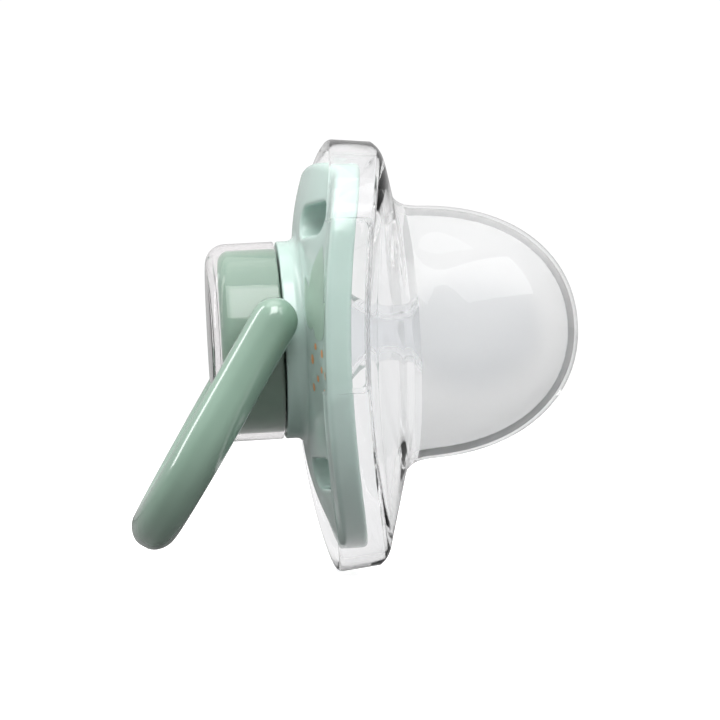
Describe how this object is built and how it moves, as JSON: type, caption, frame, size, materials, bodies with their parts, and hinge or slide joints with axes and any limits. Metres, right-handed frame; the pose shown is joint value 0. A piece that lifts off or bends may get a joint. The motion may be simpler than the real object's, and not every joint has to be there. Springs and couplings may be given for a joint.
{
  "type": "pacifier with clip-on cap",
  "caption": "Baby's pacifier with a round knob, a folding ring handle, a cheek-shaped shield, a soft nipple and a clear domed cap that pulls off.",
  "frame": {"origin": "centre of the flat outer face of the knob", "axes": "+Y from the knob through the shield to the nipple, +Z towards the nose edge of the shield, X from cheek to cheek"},
  "size_m": [0.0486, 0.0481, 0.0447],
  "materials": {
    "mint_shield": "gloss",
    "sage_plastic": "gloss",
    "clear_cover": "gloss",
    "printed_disc": "satin",
    "plug_plastic": "gloss",
    "silicone": "satin",
    "clear_cap": "gloss"
  },
  "bodies": {
    "pacifier": {"shield": "mint_shield", "nipple": "silicone", "nipple_plug": "plug_plastic", "knob_body": "sage_plastic", "knob_cover": "clear_cover", "decor_disc": "printed_disc"},
    "ring": {"ring_handle": "sage_plastic"},
    "cap": {"protective_cap": "clear_cap"}
  },
  "joints": [
    {"name": "ring_hinge", "type": "hinge", "parent": "pacifier", "child": "ring", "pos_m": [0, 0.00625, 0.0016], "axis": [-1, 0, 0], "range_deg": [-36, 150]},
    {"name": "cap_pull", "type": "slide", "parent": "pacifier", "child": "cap", "axis": [0, 1, 0], "range_m": [0, 0.038]}
  ]
}
